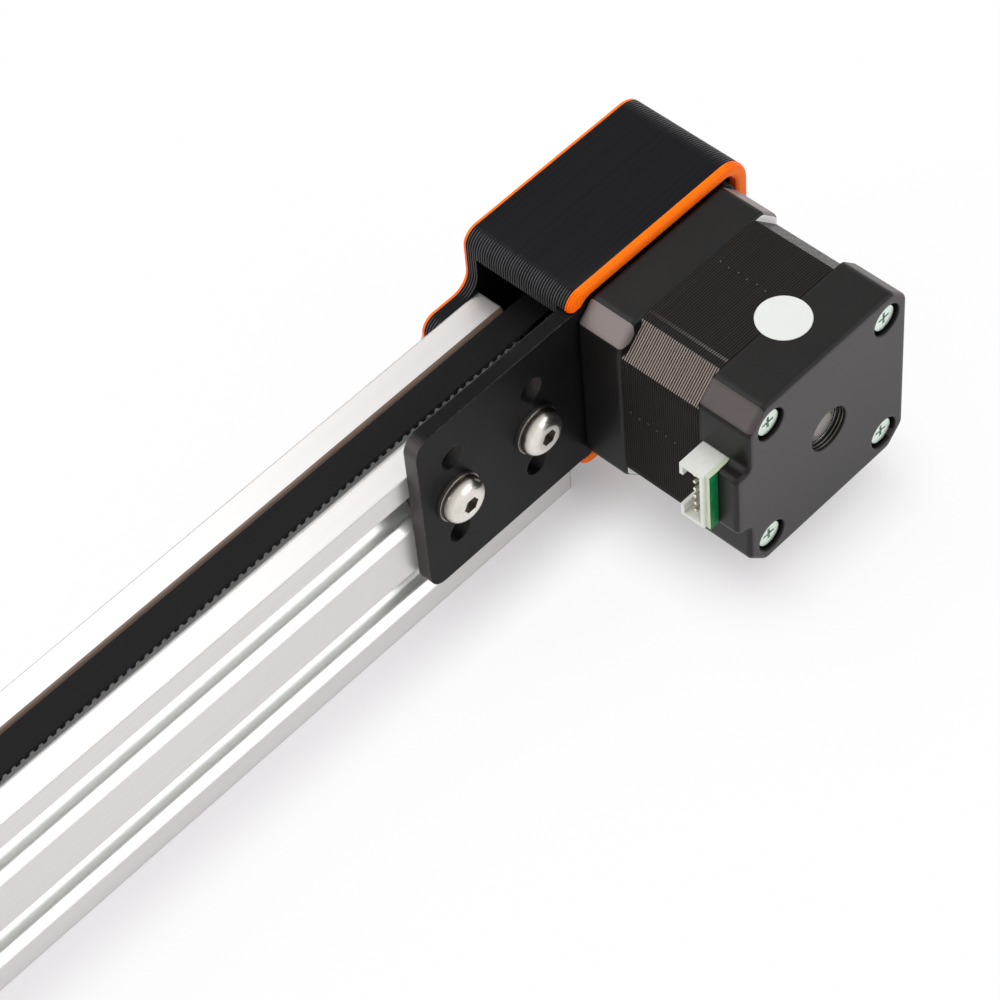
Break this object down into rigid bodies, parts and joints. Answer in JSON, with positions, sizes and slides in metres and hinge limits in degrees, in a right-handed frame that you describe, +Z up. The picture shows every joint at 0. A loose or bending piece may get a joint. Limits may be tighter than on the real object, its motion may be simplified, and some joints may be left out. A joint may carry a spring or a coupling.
{
  "type": "belt driven linear actuator",
  "caption": "V-slot rail with a stepper motor and pulley cover at one end, an idler at the other, and a V-wheel carriage pulled along its top by a toothed belt.",
  "frame": {"origin": "middle of the rail's length on the centre line of its underside", "axes": "+X along the rail towards the motor, +Z up out of the rail's belt side, motor on the -Y side"},
  "size_m": [0.685, 0.085, 0.0532],
  "materials": {
    "rail_aluminium": "clear anodised, satin, fine lengthwise extrusion lines",
    "belt_rubber": "black moulded rubber, matte",
    "plate_black": "black anodised sheet, satin",
    "steel_screw": "bright stainless steel",
    "cover_print": "black printed plastic with fine layers, first and last layers orange",
    "motor_black": "black painted casting, satin",
    "lamination_steel": "blackened steel sheets, edges showing as fine lines",
    "copper_wire": "enamelled copper",
    "connector_white": "ivory nylon",
    "tin_pin": "tin plated",
    "board_green": "green solder mask",
    "zinc_screw": "zinc plated",
    "shaft_steel": "ground steel",
    "rotor_steel": "stacked sheet steel",
    "magnet_grey": "sintered magnet",
    "bearing_steel": "polished rings, pressed shields",
    "pulley_aluminium": "turned aluminium",
    "wheel_black": "turned black acetal",
    "idler_black": "turned black acetal",
    "spacer_aluminium": "turned aluminium",
    "nut_steel": "zinc plated lock nut",
    "clamp_black": "black anodised"
  },
  "bodies": {
    "frame": {"rail": "rail_aluminium", "timing_belt": "belt_rubber", "motor_plate": "plate_black", "idler_plate_near": "plate_black", "idler_plate_far": "plate_black", "rail_screws": "steel_screw", "rail_washers": "steel_screw", "rail_slot_nuts": "nut_steel", "drive_cover": "cover_print", "motor_front_bell": "motor_black", "motor_stator": "lamination_steel", "motor_windings": "copper_wire", "motor_rear_bell": "motor_black", "connector_housing": "connector_white", "connector_pins": "tin_pin", "connector_board": "board_green", "motor_mount_screws": "steel_screw", "motor_through_screws": "zinc_screw", "motor_bearing_shells": "bearing_steel", "idler_bolt": "steel_screw", "idler_nut": "nut_steel", "idler_spacers": "spacer_aluminium", "idler_bearing_inner_rings": "bearing_steel"},
    "rotor": {"motor_shaft": "shaft_steel", "rotor_cores": "rotor_steel", "rotor_magnet": "magnet_grey", "motor_bearing_inner_rings": "bearing_steel", "drive_pulley": "pulley_aluminium", "pulley_set_screws": "steel_screw"},
    "idler": {"idler_wheel": "idler_black", "idler_bearing_shells": "bearing_steel"},
    "carriage": {"gantry_plate": "plate_black", "wheel_bolts": "steel_screw", "wheel_nuts": "nut_steel", "wheel_bearing_inner_rings": "bearing_steel", "wheel_shims": "spacer_aluminium", "wheel_spacers": "spacer_aluminium", "eccentric_spacers": "steel_screw", "belt_ends": "belt_rubber", "belt_clamps": "clamp_black", "belt_clamp_screws": "steel_screw"},
    "wheel_motor_near": {"wheel_motor_near": "wheel_black", "wheel_motor_near_bearing_shells": "bearing_steel"},
    "wheel_idler_near": {"wheel_idler_near": "wheel_black", "wheel_idler_near_bearing_shells": "bearing_steel"},
    "wheel_motor_far": {"wheel_motor_far": "wheel_black", "wheel_motor_far_bearing_shells": "bearing_steel"},
    "wheel_idler_far": {"wheel_idler_far": "wheel_black", "wheel_idler_far_bearing_shells": "bearing_steel"}
  },
  "joints": [
    {"name": "carriage_slide", "type": "slide", "parent": "frame", "child": "carriage", "axis": [1, 0, 0], "range_m": [-0.216, 0.216], "deforming": ["timing_belt"]},
    {"name": "motor_spin", "type": "hinge", "parent": "frame", "child": "rotor", "pos_m": [0.3225, 0, 0.03], "axis": [0, 1, 0], "continuous": true},
    {"name": "idler_spin", "type": "hinge", "parent": "frame", "child": "idler", "pos_m": [-0.3225, 0, 0.03], "axis": [0, 1, 0], "continuous": true},
    {"name": "wheel_motor_near_spin", "type": "hinge", "parent": "carriage", "child": "wheel_motor_near", "pos_m": [0.03, -0.01985, 0.03], "axis": [0, 0, 1], "continuous": true},
    {"name": "wheel_idler_near_spin", "type": "hinge", "parent": "carriage", "child": "wheel_idler_near", "pos_m": [-0.03, -0.01985, 0.03], "axis": [0, 0, 1], "continuous": true},
    {"name": "wheel_motor_far_spin", "type": "hinge", "parent": "carriage", "child": "wheel_motor_far", "pos_m": [0.03, 0.01985, 0.03], "axis": [0, 0, 1], "continuous": true},
    {"name": "wheel_idler_far_spin", "type": "hinge", "parent": "carriage", "child": "wheel_idler_far", "pos_m": [-0.03, 0.01985, 0.03], "axis": [0, 0, 1], "continuous": true}
  ],
  "couplings": [
    {"joint": "motor_spin", "follows": "carriage_slide", "rad_per_m": 98.175},
    {"joint": "idler_spin", "follows": "carriage_slide", "rad_per_m": 98.175},
    {"joint": "wheel_motor_near_spin", "follows": "carriage_slide", "rad_per_m": 94.34},
    {"joint": "wheel_idler_near_spin", "follows": "carriage_slide", "rad_per_m": 94.34},
    {"joint": "wheel_motor_far_spin", "follows": "carriage_slide", "rad_per_m": -94.34},
    {"joint": "wheel_idler_far_spin", "follows": "carriage_slide", "rad_per_m": -94.34}
  ]
}
